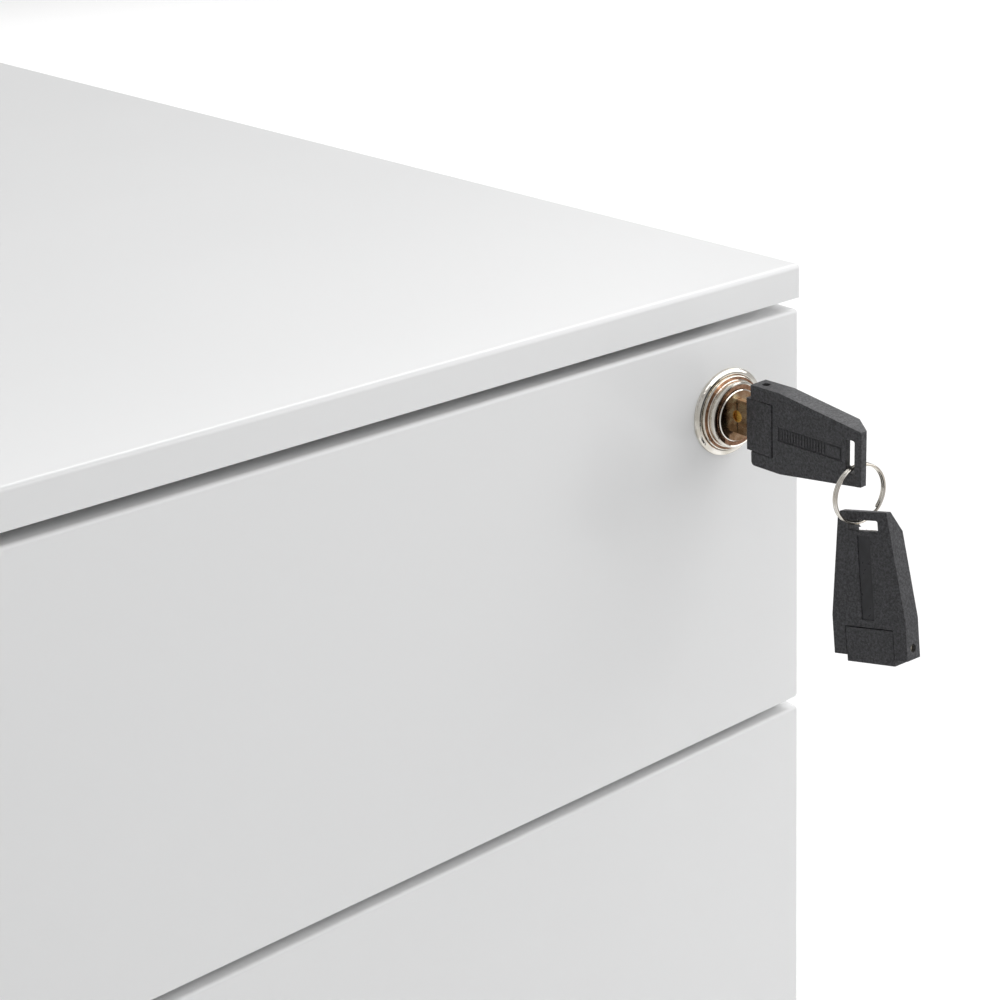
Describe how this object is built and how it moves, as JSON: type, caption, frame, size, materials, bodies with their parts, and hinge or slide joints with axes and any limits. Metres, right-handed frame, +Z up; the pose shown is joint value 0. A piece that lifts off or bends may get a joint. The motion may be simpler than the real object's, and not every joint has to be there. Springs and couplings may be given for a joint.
{
  "type": "metal filing cabinet",
  "caption": "Handle-less white steel mobile pedestal: two box drawers over a filing drawer, cam lock with locking bar, folding keys on a split ring, twin castors.",
  "frame": {"origin": "on the floor under the middle of the box that holds the object, keys included", "axes": "+Z up, +X to the right seen from the front, +Y from the drawer fronts to the back"},
  "size_m": [0.42, 0.6728, 0.6],
  "materials": {
    "white_powder_coat": "semi-gloss powder coat with a fine orange peel",
    "zinc_steel": "bright zinc plating",
    "bright_nickel": "polished nickel",
    "lock_brass": "polished brass",
    "key_steel": "nickel-plated steel",
    "key_plastic": "fine spark texture",
    "buffer_rubber": "matt rubber",
    "castor_plastic": "moulded nylon",
    "tray_plastic": "fine grained polystyrene"
  },
  "bodies": {
    "carcass": {"top_panel": "white_powder_coat", "side_panel_left": "white_powder_coat", "side_panel_right": "white_powder_coat", "back_panel": "white_powder_coat", "base_panel": "white_powder_coat", "cross_rails": "white_powder_coat", "runner_uprights": "zinc_steel", "castor_plates": "zinc_steel", "front_buffers": "buffer_rubber", "carcass_screws": "zinc_steel", "lock_bar_guides": "zinc_steel", "runner_fixed_members": "zinc_steel"},
    "lock_bar": {"lock_bar": "zinc_steel"},
    "drawer_1": {"drawer_front_1": "white_powder_coat", "drawer_liner_1": "white_powder_coat", "drawer_body_1": "white_powder_coat", "drawer_catch_1": "zinc_steel", "runner_drawer_members_1": "zinc_steel", "pencil_tray": "tray_plastic", "lock_housing": "bright_nickel", "lock_rosette": "bright_nickel", "lock_nut": "zinc_steel"},
    "runner_middle_1": {"runner_middle_members_1": "zinc_steel"},
    "drawer_2": {"drawer_front_2": "white_powder_coat", "drawer_liner_2": "white_powder_coat", "drawer_body_2": "white_powder_coat", "drawer_catch_2": "zinc_steel", "runner_drawer_members_2": "zinc_steel"},
    "runner_middle_2": {"runner_middle_members_2": "zinc_steel"},
    "drawer_3": {"drawer_front_3": "white_powder_coat", "drawer_liner_3": "white_powder_coat", "drawer_body_3": "white_powder_coat", "drawer_catch_3": "zinc_steel", "runner_drawer_members_3": "zinc_steel", "hanging_file_rails": "zinc_steel"},
    "runner_middle_3": {"runner_middle_members_3": "zinc_steel"},
    "lock_core": {"lock_plug": "lock_brass", "lock_cam": "zinc_steel", "lock_cam_screw": "zinc_steel"},
    "key": {"key_blade": "key_steel", "key_hinge_block": "key_plastic"},
    "key_grip": {"key_head": "key_plastic", "key_pin": "key_steel"},
    "split_ring": {"split_ring": "bright_nickel"},
    "spare_grip": {"spare_key_head": "key_plastic", "spare_key_pin": "key_steel"},
    "spare_key": {"spare_key_blade": "key_steel", "spare_key_hinge_block": "key_plastic"},
    "castor_front_left": {"castor_hood_front_left": "castor_plastic", "castor_axle_front_left": "zinc_steel"},
    "wheels_front_left": {"castor_wheels_front_left": "castor_plastic"},
    "castor_front_right": {"castor_hood_front_right": "castor_plastic", "castor_axle_front_right": "zinc_steel"},
    "wheels_front_right": {"castor_wheels_front_right": "castor_plastic"},
    "castor_rear_left": {"castor_hood_rear_left": "castor_plastic", "castor_axle_rear_left": "zinc_steel"},
    "wheels_rear_left": {"castor_wheels_rear_left": "castor_plastic"},
    "castor_rear_right": {"castor_hood_rear_right": "castor_plastic", "castor_axle_rear_right": "zinc_steel"},
    "wheels_rear_right": {"castor_wheels_rear_right": "castor_plastic"}
  },
  "joints": [
    {"name": "drawer_1_slide", "type": "slide", "parent": "carcass", "child": "drawer_1", "axis": [0, -1, 0], "range_m": [0, 0.48]},
    {"name": "runner_middle_1_slide", "type": "slide", "parent": "carcass", "child": "runner_middle_1", "axis": [0, -1, 0], "range_m": [0, 0.24]},
    {"name": "drawer_2_slide", "type": "slide", "parent": "carcass", "child": "drawer_2", "axis": [0, -1, 0], "range_m": [0, 0.48]},
    {"name": "runner_middle_2_slide", "type": "slide", "parent": "carcass", "child": "runner_middle_2", "axis": [0, -1, 0], "range_m": [0, 0.24]},
    {"name": "drawer_3_slide", "type": "slide", "parent": "carcass", "child": "drawer_3", "axis": [0, -1, 0], "range_m": [0, 0.48]},
    {"name": "runner_middle_3_slide", "type": "slide", "parent": "carcass", "child": "runner_middle_3", "axis": [0, -1, 0], "range_m": [0, 0.24]},
    {"name": "lock_turn", "type": "hinge", "parent": "drawer_1", "child": "lock_core", "pos_m": [0.1802, -0.26298, 0.5618], "axis": [0, -1, 0], "range_deg": [0, 90]},
    {"name": "lock_bar_lift", "type": "slide", "parent": "carcass", "child": "lock_bar", "axis": [0, 0, 1], "range_m": [0, 0.0099]},
    {"name": "key_pull", "type": "slide", "parent": "lock_core", "child": "key", "axis": [0, -1, 0], "range_m": [0, 0.018]},
    {"name": "key_fold", "type": "hinge", "parent": "key", "child": "key_grip", "pos_m": [0.1802, -0.27918, 0.5618], "axis": [0, 0, 1], "range_deg": [-2.4, 87.6]},
    {"name": "ring_swing", "type": "hinge", "parent": "key_grip", "child": "split_ring", "pos_m": [0.1806, -0.31307, 0.5575], "axis": [0.9903, -0.1392, 0], "range_deg": [-5, 5]},
    {"name": "spare_swing", "type": "hinge", "parent": "split_ring", "child": "spare_grip", "pos_m": [0.18247, -0.31355, 0.54199], "axis": [0.9897, -0.139, 0.035], "range_deg": [-8, 8]},
    {"name": "spare_fold", "type": "hinge", "parent": "spare_grip", "child": "spare_key", "pos_m": [0.17891, -0.32365, 0.50895], "axis": [-0.1597, 0.9686, -0.1904], "range_deg": [0, 180]},
    {"name": "castor_swivel_front_left", "type": "hinge", "parent": "carcass", "child": "castor_front_left", "pos_m": [-0.16, -0.18898, 0.05], "axis": [0, 0, 1], "continuous": true},
    {"name": "wheel_spin_front_left", "type": "hinge", "parent": "castor_front_left", "child": "wheels_front_left", "pos_m": [-0.16, -0.17397, 0.022], "axis": [1, 0, 0], "continuous": true},
    {"name": "castor_swivel_front_right", "type": "hinge", "parent": "carcass", "child": "castor_front_right", "pos_m": [0.16, -0.18898, 0.05], "axis": [0, 0, 1], "continuous": true},
    {"name": "wheel_spin_front_right", "type": "hinge", "parent": "castor_front_right", "child": "wheels_front_right", "pos_m": [0.16, -0.17397, 0.022], "axis": [1, 0, 0], "continuous": true},
    {"name": "castor_swivel_rear_left", "type": "hinge", "parent": "carcass", "child": "castor_rear_left", "pos_m": [-0.16, 0.27442, 0.05], "axis": [0, 0, 1], "continuous": true},
    {"name": "wheel_spin_rear_left", "type": "hinge", "parent": "castor_rear_left", "child": "wheels_rear_left", "pos_m": [-0.16, 0.28942, 0.022], "axis": [1, 0, 0], "continuous": true},
    {"name": "castor_swivel_rear_right", "type": "hinge", "parent": "carcass", "child": "castor_rear_right", "pos_m": [0.16, 0.27442, 0.05], "axis": [0, 0, 1], "continuous": true},
    {"name": "wheel_spin_rear_right", "type": "hinge", "parent": "castor_rear_right", "child": "wheels_rear_right", "pos_m": [0.16, 0.28942, 0.022], "axis": [1, 0, 0], "continuous": true}
  ],
  "couplings": [
    {"joint": "runner_middle_1_slide", "follows": "drawer_1_slide", "ratio": 0.5},
    {"joint": "runner_middle_2_slide", "follows": "drawer_2_slide", "ratio": 0.5},
    {"joint": "runner_middle_3_slide", "follows": "drawer_3_slide", "ratio": 0.5},
    {"joint": "lock_bar_lift", "follows": "lock_turn", "m_per_rad": 0.0063}
  ]
}
